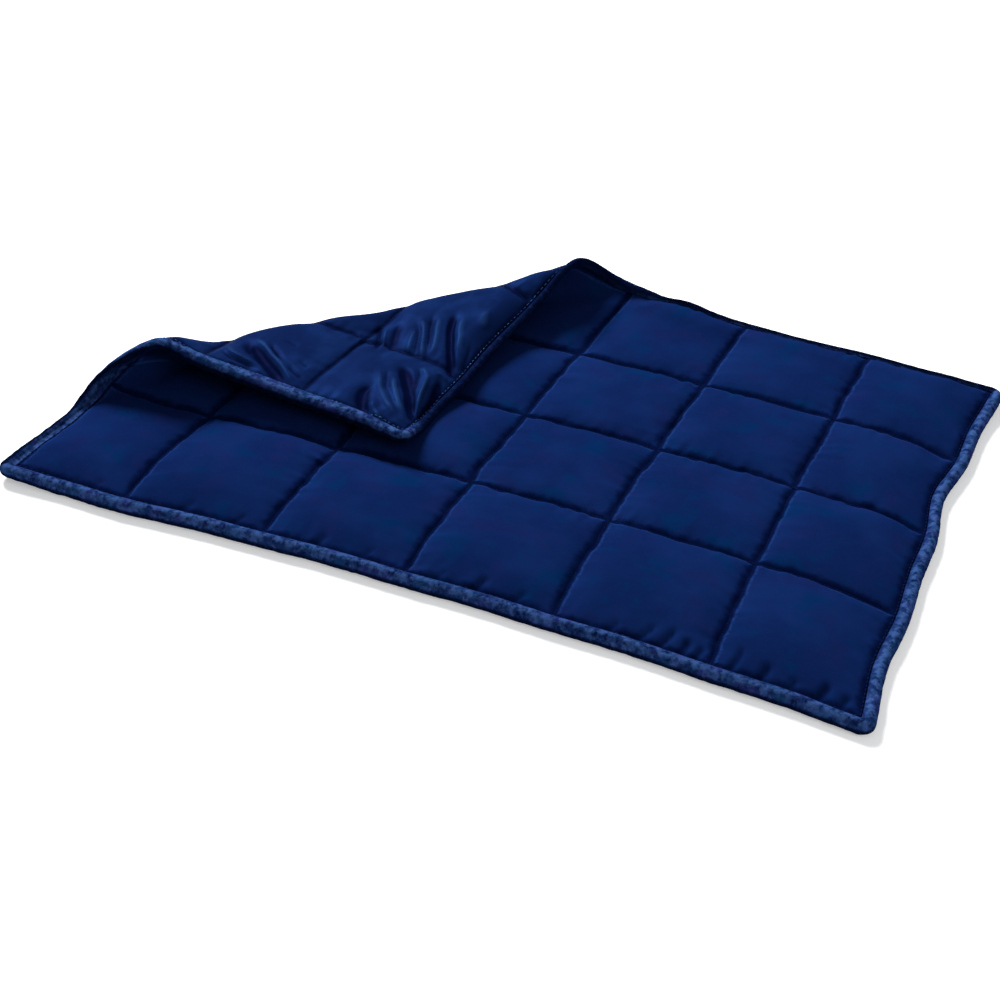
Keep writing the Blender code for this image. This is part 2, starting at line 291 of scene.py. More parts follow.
# how far the whole cloth lies off its plain fold, towards its top side
def offFold(x, y, tilt):
    folded = smooth(tilt / math.radians(filling["foldedDeg"]))
    nearest = np.minimum.reduce(list(fromSides(x, y).values()))
    inside, over = fold["rim"]
    rim = smooth(1 - (nearest - inside) / over)
    edge = (evened(x, y, roll["height"]) - fold["edgeHeight"]) * rim * (1 - folded)
    curl = fold["curl"] * smooth(1 - (depth - y) / fold["curlReach"]) * smooth(x / fold["curlStart"])
    end, over = fold["curlEnd"]
    total = edge + curl * folded * smooth((end - x) / over)
    for place, placeX, placeY, reach, height in fold["sways"]:
        total = total + height * np.exp(-((x - placeX) ** 2 + (y - placeY) ** 2) / reach**2)
    return total


# where a point of the flat blanket lies before the corner is folded
def lay(x, y):
    x, y = roundCorner(x, y)
    alongX, alongY = 2 * x / width - 1, 2 * y / depth - 1
    bowX, bowY = 1 - alongX**2, 1 - alongY**2
    shiftX, shiftY, drawIn = blanket["shiftX"], blanket["shiftY"], blanket["drawIn"]
    newX = x + shiftX["across"] * bowX + shiftX["corner"] * alongX * alongY + shiftX["along"] * bowY
    newY = (y + shiftY["across"] * bowX + shiftY["corner"] * alongX * alongY
            + shiftY["along"] * bowY + shiftY["skew"] * alongX * bowX)
    lowX, highX, _, lowY, highY, _ = cellSides(x, y)
    overRow = np.sin(math.pi * lowY / (lowY + highY)) ** 2
    overColumn = np.sin(math.pi * lowX / (lowX + highX)) ** 2
    newX = newX + drawIn["left"] * overRow * smooth(1 - x / blanket["left"])
    newX = newX - drawIn["right"] * overRow * smooth(1 - (width - x) / blanket["right"])
    newY = newY + drawIn["front"] * overColumn * smooth(1 - y / blanket["front"])
    newY = newY - drawIn["back"] * overColumn * smooth(1 - (depth - y) / blanket["back"])
    for placeX, placeY, reachX, reachY, byX, byY in blanket["pulls"]:
        near = np.exp(-((x - placeX) / reachX) ** 2 - ((y - placeY) / reachY) ** 2)
        newX, newY = newX + byX * near, newY + byY * near
    inner = smooth(np.minimum.reduce(list(fromSides(x, y).values())) / blanket["straightRim"])
    for seed, (waver, length) in zip((11, 13), blanket["wavers"]):
        newX = newX + waver * inner * swells(x, y, length, seed)
        newY = newY + waver * inner * swells(x, y, length, seed + 1)
    return newX, newY


# filling, sewn lines and creases, as heights over the middle of the cloth

filling = {
    "stitchedHalf": 0.0022,     # half the thickness at a sewn line
    "topCrown": 0.0082,
    "underCrown": 0.0068,       # on the folded corner, where the underside shows
    "nestedCrown": 0.0022,      # on the face inside the fold
    "middleRise": 0.0045,
    "riseLength": {"left": 0.050, "right": 0.070, "front": 0.070, "back": 0.030},
    "settle": 1.25,
    "shoulder": 0.0105,         # how soon the cloth rises from a sewn line
    "edgeShoulder": {"left": 0.0090, "right": 0.0130, "front": 0.0170, "back": 0.0060},
    "dome": 0.16,               # part of the crown that is a dome and not a plateau
    "unevenCells": (0.08, 2.1, 3.3),  # how much, and how it turns from column to column and row to row
    "broad": (0.0007, 0.060),   # swells of the filling: height, length
    "small": (0.00022, 0.019),
    "calmSeam": 0.006,          # these swells are weaker this near a sewn line
    "foldedDeg": 70.0,
    "nestedDeg": 110.0,
    "pressed": {"nested": 0.7, "crown": 0.85, "uneven": 0.7},  # less inside the fold and at its bend
}
# short creases that run out of the sewn lines
pucker = {
    "height": 0.00230,
    "spacing": 0.0070,
    "reach": 0.011,
    "start": 0.002,
    "lean": (0.35, 0.05),       # how much, over which length it changes
    "strength": (0.55, 0.45, 0.06),  # middle, how much it varies, over which length
}

# soft ridges (height over 0) and troughs (under 0) placed on the flat blanket, in
# millimetres: x and y of one end, x and y of the other, bow, width, height
creaseEnds = {"beyond": 0.15, "fade": 0.4}  # how each fades, in its own lengths
topCreases = (
    # under the crest of the left edge
    (12.5, 183.5, 41, 219.5, 2, 2.6, 4),
    (10, 193, 34, 232, 2, 6, -5),
    # gathers of the front row, over the binding
    (576, 34, 565, 13, 1, 2.8, -2.2),
    (592, 36, 583, 14, 1, 3, -2.8),
    (604, 30, 600, 12, 1, 3.6, -3.4),
    (617, 28, 612, 13, 0, 3, -2),
    (548, 26, 541, 13, 1, 2.6, -1.6),
    (645, 40, 640, 14, 1, 3, -2.4),
    (668, 32, 660, 12, 2, 3.4, -3),
    (690, 26, 684, 12, 0, 2.8, -2.2),
    (716, 34, 706, 13, 1, 3.4, -3.2),
    (731, 30, 726, 14, 0, 3, -2.4),
    (471, 28, 463, 13, 1, 2.8, -1.8),
    (437, 30, 429, 13, 1, 3, -2),
    (402, 26, 396, 13, 1, 2.6, -1.6),
    (338, 28, 331, 13, 1, 2.8, -1.8),
    (296, 30, 288, 13, 1, 2.8, -1.8),
    (222, 26, 214, 13, 1, 2.6, -1.4),
    (176, 28, 169, 13, 1, 2.6, -1.4),
    (90, 26, 83, 13, 1, 2.6, -1.2),
)
underCreases = (
    # first cell beside the fold
    (30, 296, 20, 345, 2, 3, -2.1),
    (40, 293, 23, 347, 3, 2.2, 2),
    (51, 316, 34, 334, 1, 2, 1.3),
    (51, 309, 15, 386, 0, 7, -3.9),
    (60, 314, 20, 391, -2, 2.8, 3.1),
    (58, 334, 41, 365, 0, 3, -2.1),
    (70, 344, 67, 362, -1, 2.5, -1.2),
    (36, 374, 30, 400, 1, 3, -1.8),
    (49, 380, 45, 394, 0, 3, -1.3),
    # cell beside the back edge
    (147, 404, 104, 435, -2, 4, -2.3),
    (140, 419, 108, 439, -1, 2.6, 1.8),
    (149, 428, 116, 448, 0, 5.5, -2.3),
    (147, 451, 119, 466, 0, 2.6, 2.1),
    (152, 451, 119, 474, -2, 2.6, -2.1),
    (163, 449, 115, 486, -2, 3, 2.3),
    (172, 455, 130, 482, 0, 4, -2.3),
    (172, 464, 125, 492, -2, 4, 2.3),
    (182, 476, 115, 525, -1, 5, -5.2),
    (183, 489, 141, 519, 0, 4.5, 2.3),
    (160, 521, 127, 531, -1, 2.5, -1.6),
    (202, 504, 183, 519, 0, 6, 1.8),
    # cell at the corner itself
    (49, 466, 15, 488, 6, 7.5, -3.6),
    (30, 482, 11, 510, 2, 3.5, 1.8),
    (75, 463, 25, 515, 4, 3.2, 2.3),
    (79, 470, 49, 489, 1, 3, -1.8),
    (74, 482, 29, 524, 2, 2.8, 3.1),
    (90, 480, 34, 528, -4, 6, -5.2),
    (98, 498, 72, 510, 0, 2.6, -1.8),
    (102, 498, 89, 515, -1, 2.2, 2.3),
    (90, 513, 41, 531, 1, 2.2, 3.1),
    (101, 522, 43, 534, -4, 4.5, -3.4),
    (104, 515, 105, 528, -2, 2.4, 1.6),
    (15, 516, 8, 533, 0, 2.5, -1.3),
)


# height of a table of creases; each fades at its ends and bulges sideways by its bow
def creaseHeight(x, y, table):
    total = np.zeros(np.shape(x))
    beyond, over = creaseEnds["beyond"], creaseEnds["fade"]
    for row in table:
        x0, y0, x1, y1, bow, creaseWidth, height = (part / 1000 for part in row)
        length = math.hypot(x1 - x0, y1 - y0)
        wayX, wayY = (x1 - x0) / length, (y1 - y0) / length
        along = ((x - x0) * wayX + (y - y0) * wayY) / length
        aside = (y - y0) * wayX - (x - x0) * wayY - bow * 4 * along * (1 - along)
        fade = smooth((along + beyond) / over) * smooth((1 + beyond - along) / over)
        total += height * fade * np.exp(-(aside / creaseWidth) ** 2)
    return total


# 0 on a sewn line and about 1 over the filling; also how near the closest line is
def puffAt(x, y):
    lowX, highX, column, lowY, highY, row = cellSides(x, y)
    plateau = np.ones(np.shape(x))
    for side, distance, atRim in (("left", lowX, column == 0), ("right", highX, column == len(columnLines)),
                                  ("front", lowY, row == 0), ("back", highY, row == len(rowLines))):
        shoulder = np.where(atRim, filling["edgeShoulder"][side], filling["shoulder"])
        plateau = plateau * (1 - np.exp(-distance / shoulder))
    arch = np.sin(math.pi * lowX / (lowX + highX)) * np.sin(math.pi * lowY / (lowY + highY))
    crown = plateau * (1 - filling["dome"] + filling["dome"] * arch)
    much, turnX, turnY = filling["unevenCells"]
    uneven = 1 + much * np.sin(turnX * column + turnY * row)
    nearest = np.minimum(np.minimum(lowX, highX), np.minimum(lowY, highY))
    return crown * uneven, nearest


# how near a sewn line is, and 1 where its slope looks to the back or left and catches the light
def seamSides(x, y):
    lowX, highX, _, lowY, highY, _ = cellSides(x, y)
    nearest = np.minimum(np.minimum(lowX, highX), np.minimum(lowY, highY))
    return nearest, (np.minimum(lowX, highY) < np.minimum(highX, lowY)).astype(float)


def puckers(x, y, seed):
    lowX, highX, column, lowY, highY, row = cellSides(x, y)
    total = np.zeros(np.shape(x))
    lean, leanLength = pucker["lean"]
    middle, varied, strengthLength = pucker["strength"]
    sides = ((lowX, y, column, 1), (highX, y, column + 1, 2), (lowY, x, row, 3), (highY, x, row + 1, 4))
    for distance, along, line, side in sides:
        leaning = along + distance * lean * wander(along, leanLength, seed + 7 * side)
        uneven = wander(leaning + 3.1 * line, pucker["spacing"], seed + side)
        strong = middle + varied * wander(along + 1.7 * line, strengthLength, seed + 31 * side)
        rise = 1 - np.exp(-distance / pucker["start"])
        total += uneven * strong * np.exp(-distance / pucker["reach"]) * rise
    return pucker["height"] * total


# where points of the flat quilt are laid, and how far its two faces are off the cloth's middle
def quiltOffsets(x, y):
    laidX, laidY = lay(x, y)
    tilt = cloth.tiltAt(laidX, laidY)
    folded = smooth(tilt / math.radians(filling["foldedDeg"]))
    nested = smooth(tilt / math.radians(filling["nestedDeg"]))
    puff, nearest = puffAt(x, y)
    rise = np.ones(np.shape(x))
    for side, distance in fromSides(x, y).items():
        rise = rise * smooth((distance - seamAt[side]) / filling["riseLength"][side])
    lifted = filling["middleRise"] * rise * (1 - folded) + offFold(x, y, tilt)
    away = 1 - np.exp(-nearest / filling["calmSeam"])
    broad, small, pressed = filling["broad"], filling["small"], filling["pressed"]
    unevenTop, unevenUnder = (
        away * (broad[0] * swells(x, y, broad[1], seed) + small[0] * swells(x, y, small[1], seed + 1))
        for seed in (21, 23))
    crown = filling["topCrown"] * (1 - nested) + filling["nestedCrown"] * nested
    top = lifted + filling["stitchedHalf"] + puff * crown
    top = top + (unevenTop + puckers(x, y, 100)) * (1 - pressed["nested"] * nested)
    top = top + creaseHeight(x, y, topCreases)
    settled = (fold["edgeHeight"] + lifted) * filling["settle"]
    middle, reach = (math.radians(part) for part in fold["tightDeg"])
    tight = np.exp(-((tilt - middle) / reach) ** 2)
    crown = filling["underCrown"] * folded * (1 - pressed["crown"] * tight)
    under = filling["stitchedHalf"] + puff * (settled * (1 - folded) + crown)
    uneven = (unevenUnder + puckers(x, y, 200)) * folded + creaseHeight(x, y, underCreases)
    under = under + uneven * (1 - pressed["uneven"] * tight)
    return laidX, laidY, top, lifted - under


# meshes

quilt = {
    "perCell": 58,              # steps of the grid across an inner cell
    "crowding": 0.06,
    "hiddenKept": 0.58,         # share of the triangles that stay where the quilt isn't seen
    "hiddenTilt": (0.02, 1.9),  # the underside is hidden under the first, the top side over the second
}


# lines of the grid over the cloth, closer together at the sewn lines
def gridLines(lines, size):
    low, high = ("left", "right") if size == width else ("front", "back")
    bounds = [seamAt[low]] + lines + [size - seamAt[high]]
    places = [rimAt[low]]
    for start, end in zip(bounds, bounds[1:]):
        count = round((end - start) / blanket["pitch"] * quilt["perCell"])
        part = np.arange(count) / count
        places.extend(start + (end - start) * (part - np.sin(tau * part) * quilt["crowding"]))
    return np.array(places + [size - seamAt[high], size - rimAt[high]])


def makeObject(name, data):
    thing = bpy.data.objects.new(name, data)
    bpy.context.scene.collection.objects.link(thing)
    return thing


def makeMesh(name, points, faces, materials, faceMaterial=None, clothPlace=None, values=None):
    mesh = bpy.data.meshes.new(name)
    mesh.from_pydata(points.tolist(), [], faces)
    for material in materials:
        mesh.materials.append(material)
    if faceMaterial is not None:
        mesh.polygons.foreach_set("material_index", faceMaterial)
    if clothPlace is not None:
        corner = np.empty(len(mesh.loops), dtype=np.int32)
        mesh.loops.foreach_get("vertex_index", corner)
        layer = mesh.uv_layers.new(name="cloth")
        layer.data.foreach_set("uv", clothPlace[corner].astype(np.float32).ravel())
    for key, value in (values or {}).items():
        mesh.attributes.new(key, "FLOAT", "POINT").data.foreach_set("value", value.astype(np.float32))
    mesh.validate()
    mesh.shade_smooth()
    return makeObject(name, mesh)


def gridFaces(rows, columns, offset=0, flip=False):
    i, j = np.meshgrid(np.arange(rows - 1), np.arange(columns - 1), indexing="ij")
    a = (i * columns + j).ravel() + offset
    quads = np.stack([a, a + columns, a + columns + 1, a + 1], axis=1)
    return quads[:, ::-1] if flip else quads


def makeQuilt(topCloth, underCloth):
    xs, ys = gridLines(columnLines, width), gridLines(rowLines, depth)
    x, y = (part.ravel() for part in np.meshgrid(xs, ys, indexing="ij"))
    laidX, laidY, top, under = quiltOffsets(x, y)
    points = np.concatenate([cloth.carry(laidX, laidY, top), cloth.carry(laidX, laidY, under)])
    count = len(x)
    upper = gridFaces(len(xs), len(ys))
    lower = gridFaces(len(xs), len(ys), count, flip=True)
    columns = len(ys)
    rim = np.concatenate([
        np.arange(len(xs)) * columns,
        (len(xs) - 1) * columns + np.arange(1, columns),
        (np.arange(len(xs) - 2, -1, -1)) * columns + columns - 1,
        np.arange(columns - 2, 0, -1),
    ])
    after = np.roll(rim, -1)
    side = np.stack([rim, rim + count, after + count, after], axis=1)
    faces = np.concatenate([upper, lower, side]).tolist()
    faceMaterial = np.concatenate([np.zeros(len(upper)), np.ones(len(lower)), np.zeros(len(side))])
    nearest, lit = seamSides(x, y)
    piece = makeMesh(
        "quiltedBlanket", points, faces, [topCloth, underCloth],
        faceMaterial.astype(np.int32), np.tile(np.stack([x, y], axis=1), (2, 1)),
        {"fromSeam": np.tile(nearest, 2), "lit": np.tile(lit, 2),
         "crease": np.concatenate([creaseHeight(x, y, topCreases), creaseHeight(x, y, underCreases)])})
    tilt = cloth.tiltAt(laidX, laidY)
    flat, turned = quilt["hiddenTilt"]
    hidden = np.concatenate([tilt > turned, tilt < flat])
    group = piece.vertex_groups.new(name="hidden")
    group.add(np.nonzero(hidden)[0].tolist(), 1.0, "REPLACE")
    return piece


binding = {
    "gap": 0.00050,             # between the cloth and the lips of the roll
    "middle": 0.98,             # of the roll, from the rim in radii
    "slit": 1.56,               # depth of the slit, from the rim in radii
    "cornerZone": 0.0225,
    "cornerSteps": 10,
    "mitreGap": 0.0003,
    "around": 30,
    "spacing": 0.0019,
    "lumps": (0.050, 0.014),    # part of the radius, length
    "tufts": (0.040, 0.0042),
    # pinched places: along, reach, part of the radius
    "nips": {"left": ((0.2500, 0.0030, 0.20), (0.2620, 0.0032, 0.26), (0.2780, 0.0030, 0.12))},
}
# painted shade and painted highlight on the roll of binding; the angles go round the roll, inward 0 and top
# 90
rollPaintedLight = {
    # painted shade on the outer side of the roll starts at these angles
    "darkFromDeg": {"left": 60.0, "right": 158.0, "front": 162.0, "back": 34.0},
    "darkRampDeg": 26.0,
    # painted highlight: how much, at which angle, over which
    "light": {"left": (0.80, 20.0, 30.0), "right": (1.0, 95.0, 42.0), "front": (0.80, 112.0, 44.0),
              "back": (0.60, 8.0, 24.0)},
    "risingDeg": 65.0,          # these angles turn with the cloth where it rises
    "over": (1.6, 1.0),         # tilt from which the edge is folded over, and over which
    "foldedDarkDeg": 205.0,
    "foldedLight": (250.0, 32.0),  # painted highlight along the folded left edge: angle, over which
    "cornerLight": (0.030, 0.012),  # painted highlight at full strength at the right end of the front edge: from its end, over which
    "tipLight": (0.8, 0.030),   # painted highlight at the tip of the folded corner: how much, reach
    "turned": (0.015, 0.03),    # painted shade along the folded back edge: from, over which
}


# outline of the roll with its slit, for the radius of one side: inward, up, angle, freedom
def bindingSection(radius):
    half = filling["stitchedHalf"] + binding["gap"]
    lip = math.asin(half / radius)
    angle = lip + (tau - 2 * lip) * np.arange(binding["around"] + 1) / binding["around"]
    inward = np.append(radius * (binding["middle"] + np.cos(angle)), [radius * binding["slit"]] * 2)
    off = np.append(radius * np.sin(angle), [-half, half])
    loose = np.append(np.sin((angle - lip) / (tau - 2 * lip) * math.pi), [0.0, 0.0])
    return inward, off, np.append(angle, [0.0, 0.0]), loose


def makeBinding(name, side, length, toFlat, material, seed):
    zone, steps = binding["cornerZone"], binding["cornerSteps"]
    radius = roll["radius"][side]
    places = np.linspace(zone, length - zone, round((length - 2 * zone) / binding["spacing"]) + 1)
    inward, off, angle, loose = bindingSection(radius)
    ring = len(inward)
    part = np.arange(steps)[:, None] / steps
    ends = []
    for corner in (0.0, length):
        x, y = toFlat(np.array(corner), np.array(0.0))
        mitre = inward * float(radiusAt(x, y)) / radius + binding["mitreGap"]
        ends.append(mitre + (zone - mitre) * part)
    start, end = ends[0], length - ends[1][::-1]
    along = np.concatenate([start, np.repeat(places[:, None], ring, axis=1), end])
    inward, off, angle, loose = (np.tile(v, (len(along), 1)) for v in (inward, off, angle, loose))
    lumps, tufts = binding["lumps"], binding["tufts"]
    around = angle * radius
    x, y = toFlat(along, inward)
    fatness = radiusAt(x, y) / radius
    grow = fatness + loose * (lumps[0] * swells(along, around, lumps[1], seed)
                              + tufts[0] * swells(along, around, tufts[1], seed + 1))
    for place, reach, tight in binding["nips"].get(side, ()):
        grow = grow - tight * np.exp(-((along - place) / reach) ** 2)
    middle = radius * binding["middle"]
    inward = np.where(loose > 0, middle * fatness + (inward - middle) * grow, inward)
    off = np.where(loose > 0, off * grow, off)
    x, y = toFlat(along, inward)
    laidX, laidY = lay(x, y)
    tilt = cloth.tiltAt(laidX, laidY)
    points = cloth.carry(laidX, laidY, off + offFold(x, y, tilt))
    count = len(along)
    index = np.arange(count * ring).reshape(count, ring)
    across = np.roll(index, -1, axis=1)
    faces = np.stack([index[:-1], across[:-1], across[1:], index[1:]], axis=-1).reshape(-1, 4).tolist()
    place = np.stack([along, around], axis=-1).reshape(-1, 2)
    # painted shade and painted highlight round the roll, kept as attributes
    paintedLight = paintRollLight(side, x, y, np.degrees(angle), tilt)
    piece = makeMesh(name, points.reshape(-1, 3), faces, [material], None, place,
                     {key: value.ravel() for key, value in paintedLight.items()})
    closeEnds(piece, index[0], index[-1])
    return piece


# painted shade on the outer side of the roll and along the folded back edge, and painted highlight, at
# angles round the roll
def paintRollLight(side, x, y, angle, tilt):
    # painted shade along the folded back edge
    turned = np.zeros(np.shape(x))
    if side == "back":
        start, reach = rollPaintedLight["turned"]
        turned = smooth(tilt / math.radians(filling["foldedDeg"])) * smooth((x - start) / reach)
    start, reach = rollPaintedLight["over"]
    over = smooth((tilt - start) / reach)
    rising = rollPaintedLight["risingDeg"] * np.clip(np.degrees(tilt) / 90.0, 0.0, 1.0)
    ramp = rollPaintedLight["darkRampDeg"]
    # painted shade on the outer side of the roll
    outer = (smooth((angle - rollPaintedLight["darkFromDeg"][side] - rising) / ramp) * (1 - over)
             + smooth((rollPaintedLight["foldedDarkDeg"] - angle) / ramp) * over)
    # painted highlight at chosen angles round the roll
    lightDeg, reachDeg = rollPaintedLight["foldedLight"]
    paintedHighlight = np.exp(-((angle - lightDeg) / reachDeg) ** 2) * over * (1 - turned)
    strength, lightDeg, reachDeg = rollPaintedLight["light"][side]
    start, reach = rollPaintedLight["cornerLight"]
    atCorner = smooth((x - width + start) / reach) * (side == "front")
    paintedHighlight = paintedHighlight + (strength + (1 - strength) * atCorner) * (
        np.exp(-((angle - lightDeg - rising) / reachDeg) ** 2) * (1 - over))
    strength, reach = rollPaintedLight["tipLight"]
    paintedHighlight = paintedHighlight + strength * over * smooth(1 - np.hypot(x, depth - y) / reach)
    return {"turned": turned, "outer": outer, "paintedHighlight": paintedHighlight}


# fills the two mitred ends and turns every face outwards
def closeEnds(piece, *rings):
    bm = bmesh.new()
    bm.from_mesh(piece.data)
    bm.verts.ensure_lookup_table()
    for ring in rings:
        bm.faces.new([bm.verts[i] for i in ring])
    bm.normal_update()
    ends = [face for face in bm.faces if len(face.verts) > 4]
    bmesh.ops.triangulate(bm, faces=ends, ngon_method="EAR_CLIP")
    bmesh.ops.recalc_face_normals(bm, faces=bm.faces)
    bm.to_mesh(piece.data)
    bm.free()
    piece.data.shade_smooth()
    piece.data.set_sharp_from_angle(angle=math.radians(60))


# stitches along the sewn lines and along the binding, on both faces

thread = {
    "quilting": {"pitch": 0.0034, "length": 0.0026, "half": 0.00030},  # half the thread's thickness
    "binding": {"pitch": 0.0052, "length": 0.0038, "half": 0.00045},
    "proud": 0.00020,
    "dip": 2.2,                 # how deep the ends go in, in parts of that
    "fullness": 1.05,           # over 1, so that the ends aren't points
    "around": 5,
    "rings": 5,
    "inset": 0.0008,            # of the stitches along the binding, from its seam
}


# middle and direction of each stitch along one line of the flat blanket
def stitchPlaces(pitch, x0, y0, x1, y1):
    length = math.hypot(x1 - x0, y1 - y0)
    count = int(length / pitch)
    part = (np.arange(count) + 0.5) / count
    ones = np.ones(count)
    return np.stack([x0 + (x1 - x0) * part, y0 + (y1 - y0) * part,
                     ones * (x1 - x0) / length, ones * (y1 - y0) / length])


def makeStitches(name, kind, lines, face, material):
    pitch, length, half = (thread[kind][key] for key in ("pitch", "length", "half"))
    centreX, centreY, wayX, wayY = np.concatenate([stitchPlaces(pitch, *line) for line in lines], axis=1)
    count, rings, around = len(centreX), thread["rings"], thread["around"]
    part = np.linspace(-1.0, 1.0, rings)
    along = part * length / 2
    girth = half * np.sqrt(thread["fullness"] - np.abs(part) ** 3)
    x, y = (c[:, None] + way[:, None] * along for c, way in ((centreX, wayX), (centreY, wayY)))
    _, _, top, under = quiltOffsets(x, y)
    rise = thread["proud"] * (1.0 - thread["dip"] * part**2)
    angle = tau * np.arange(around) / around
    aside = girth[:, None] * np.cos(angle)
    lift = rise[:, None] + girth[:, None] * np.sin(angle)
    stitchX = x[:, :, None] - wayY[:, None, None] * aside
    stitchY = y[:, :, None] + wayX[:, None, None] * aside
    off = top[:, :, None] + lift if face == "top" else under[:, :, None] - lift
    points = cloth.carry(*lay(stitchX, stitchY), off).reshape(-1, 3)
    index = np.arange(count * rings * around).reshape(count, rings, around)
    turned = np.roll(index, -1, axis=2)
    strips = np.stack([index[:, :-1], turned[:, :-1], turned[:, 1:], index[:, 1:]], axis=-1)
    ends = np.concatenate([index[:, 0][:, ::-1], index[:, -1]])
    if face == "top":
        strips, ends = strips[..., ::-1], ends[:, ::-1]
    faces = strips.reshape(-1, 4).tolist() + ends.tolist()
    place = np.stack([stitchX, stitchY], axis=-1).reshape(-1, 2)
    piece = makeMesh(name, points, faces, [material], None, place)
    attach(piece, "root")
    return piece


# materials

# a socket of a material; arithmetic on it adds Math nodes
class Wire:
    def __init__(self, finish, socket):
        self.finish = finish
        self.socket = socket

    def math(self, operation, first, second=0.0):
        return self.finish.add("ShaderNodeMath", {"operation": operation}, {0: first, 1: second})

    def __add__(self, other):
        return self.math("ADD", self, other)

    def __sub__(self, other):
        return self.math("SUBTRACT", self, other)

    def __rsub__(self, other):
        return self.math("SUBTRACT", other, self)

    def __mul__(self, other):
        return self.math("MULTIPLY", self, other)

    def sine(self):
        return self.math("SINE", self)

    __radd__ = __add__
    __rmul__ = __mul__


class Finish:
    def __init__(self, name):
        self.material = bpy.data.materials.new(name)
        self.material.use_nodes = True
        self.tree = self.material.node_tree
        self.tree.nodes.clear()

    # settings are set first, then the values or links of the sockets
    def add(self, kind, settings, sockets, output=0):
        node = self.tree.nodes.new(kind)
        for key, value in settings.items():
            setattr(node, key, value)
        for key, value in sockets.items():
            if isinstance(value, Wire):
                self.tree.links.new(value.socket, node.inputs[key])
            else:
                node.inputs[key].default_value = value
        return Wire(self, node.outputs[output]) if node.outputs else None

    def mixColour(self, factor, first, second):
        return self.add("ShaderNodeMix", {"data_type": "RGBA"}, {0: factor, 6: first, 7: second}, 2)

    def between(self, value, low, high):
        return self.add("ShaderNodeMapRange", {"interpolation_type": "SMOOTHSTEP"},
                        {0: value, 1: low, 2: high, 3: 0.0, 4: 1.0})

    def noise(self, place, scale, detail, rough):
        return self.add("ShaderNodeTexNoise", {},
                        {"Vector": place, "Scale": scale, "Detail": detail, "Roughness": rough})

    def noises(self, place, table):
        return {name: self.noise(place, *facts) for name, facts in table.items()}

    def attribute(self, name):
        return self.add("ShaderNodeAttribute", {"attribute_name": name}, {}, 2)

    def clothPlace(self):
        return self.add("ShaderNodeUVMap", {"uv_map": "cloth"}, {})

    # lays colours over a base in turn, each where its mask goes from low to high
    def layers(self, base, masks, look, rows):
        for name, low, high, share, colour in look[rows]:
            base = self.mixColour(self.between(masks[name], low, high) * share, base, look[colour])
        return base

    def bump(self, height, facts, under=None):
        sockets = {"Height": height, "Strength": facts[0], "Distance": facts[1]}
        if under is not None:
            sockets["Normal"] = under
        return self.add("ShaderNodeBump", {}, sockets)

    def shader(self, sockets):
        surface = self.add("ShaderNodeBsdfPrincipled", {}, sockets)
        self.add("ShaderNodeOutputMaterial", {}, {"Surface": surface})
        return self.material


def linear(r, g, b):
    return tuple(((c / 255 + 0.055) / 1.055) ** 2.4 if c > 10 else c / 255 / 12.92
                 for c in (r, g, b)) + (1.0,)


# noises: scale, detail, roughness; layers: mask, from, to, share, colour; bumps: strength, distance
quiltFinish = {
    "field": linear(11, 29, 74),
    "light": linear(14, 35, 83),
    "teal": linear(3, 37, 80),
    "violet": linear(19, 29, 76),
    # painted shade: the band at each sewn line, narrower on the side that catches the light, and the
    # troughs of creases
    "paintedShade": linear(3, 10, 42),
    "paintedLight": linear(30, 56, 112),    # painted highlight along the sewn lines, on the side that catches the light, and on crease ridges
    "noises": {"cloudy": (14.0, 3.0, 0.55), "fine": (260.0, 3.0, 0.6), "tint": (26.0, 3.0, 0.6),
               "edge": (105.0, 3.0, 0.6), "lumps": (75.0, 3.0, 0.6)},
    "cloth": (("cloudy", 0.38, 0.66, 1.0, "light"), ("fine", 0.35, 0.75, 0.25, "light"),
              ("tint", 0.54, 0.68, 0.70, "teal"), ("tint", 0.46, 0.34, 0.55, "violet"),
              ("ragged", 0.0086, 0.0018, 0.88, "paintedShade")),
    # painted shade in crease troughs and painted highlight on crease ridges
    "creases": (("crease", -0.0004, -0.0030, 0.6, "paintedShade"), ("crease", 0.0012, 0.0034, 0.9, "paintedLight")),
    "ragged": 0.0090,           # how uneven the painted shade band at a sewn line is
    "litNarrow": 1.8,           # and how much narrower on its lit side
    "paintedSeamHighlight": ((0.0060, 0.0085), (0.0155, 0.0090)),  # painted highlight beside that band: from, until
    "paintedSeamHighlightFine": (0.30, 0.60),
    "paintedSeamHighlightShare": 0.5,
    "roughness": (0.70, 0.10),  # least, more with the fine noise
    "thread": 0.00055,          # pitch of the weave
    "weave": (0.35, 1.2),       # height of the threads, and of the fine noise
    "weaveBump": (0.35, 0.00012),
    "lumpsBump": (0.30, 0.0009),
    "sheen": {"Sheen Weight": 0.04, "Sheen Roughness": 0.45, "Sheen Tint": linear(40, 90, 220)},
}


